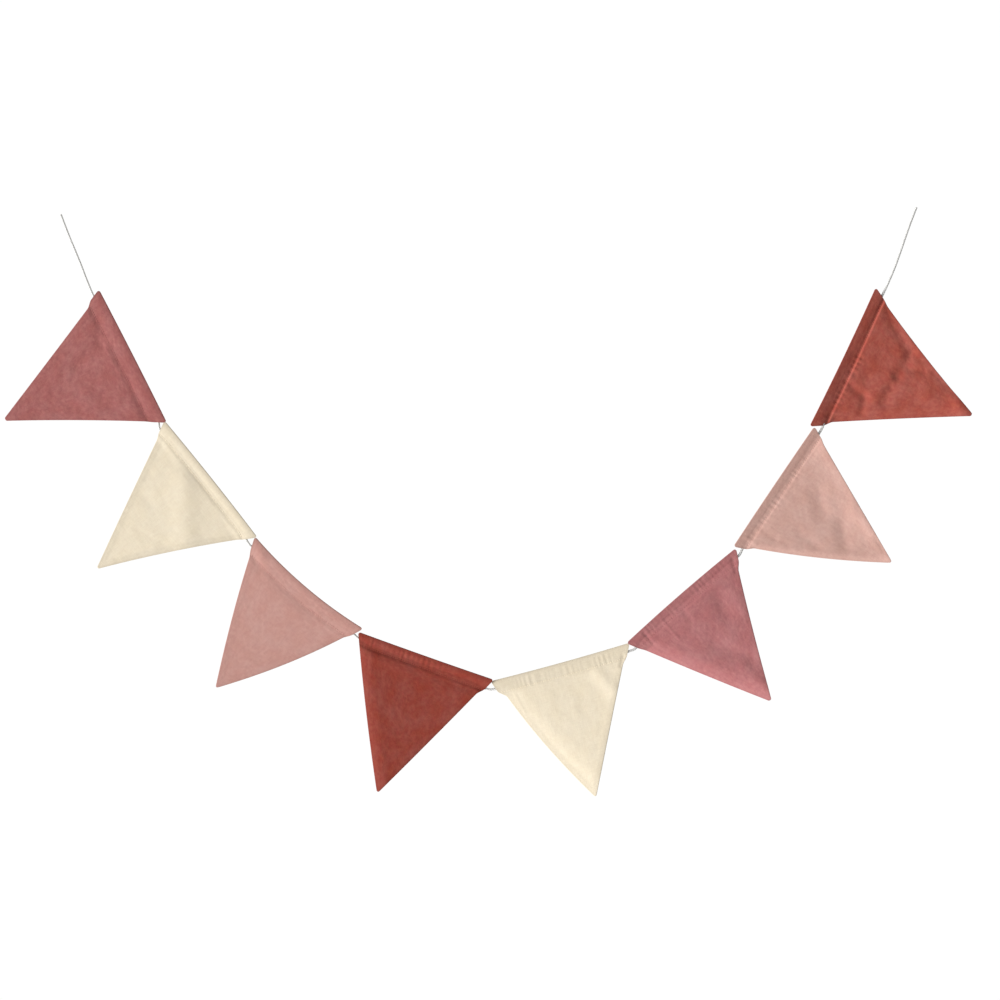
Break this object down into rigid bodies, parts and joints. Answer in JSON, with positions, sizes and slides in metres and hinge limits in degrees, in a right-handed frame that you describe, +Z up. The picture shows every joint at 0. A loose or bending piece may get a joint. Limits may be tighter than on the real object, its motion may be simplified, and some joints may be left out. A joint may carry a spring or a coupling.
{
  "type": "fabric bunting",
  "caption": "Triangular cotton flags with pressed seams, threaded through a sewn top casing onto one twisted cotton string and hung in a deep U between its two free ends.",
  "frame": {"origin": "the cut end of the string at the left, where the bunting is tied up", "axes": "+X along the bunting from its left tie to its right tie, +Y out of the flags' backs, +Z up; the fronts face -Y"},
  "size_m": [1.089, 0.0091, 0.6647],
  "materials": {
    "dusty_rose_cotton": "washed plain-weave cotton, dusty rose, matt",
    "cream_cotton": "washed plain-weave cotton, natural cream, matt",
    "blush_cotton": "washed plain-weave cotton, blush pink, matt",
    "pale_blush_cotton": "washed plain-weave cotton, paler blush pink, matt",
    "rust_cotton": "washed plain-weave cotton, deep rust, matt",
    "mauve_cotton": "washed plain-weave cotton, mauve rose, matt",
    "rust_red_cotton": "washed plain-weave cotton, rust red, matt",
    "string_cotton": "twisted undyed cotton string, white, matt"
  },
  "bodies": {
    "root": {"flag_1": "dusty_rose_cotton", "flag_2": "cream_cotton", "flag_3": "blush_cotton", "flag_4": "rust_cotton", "flag_5": "cream_cotton", "flag_6": "mauve_cotton", "flag_7": "pale_blush_cotton", "flag_8": "rust_red_cotton", "string": "string_cotton"}
  },
  "joints": []
}
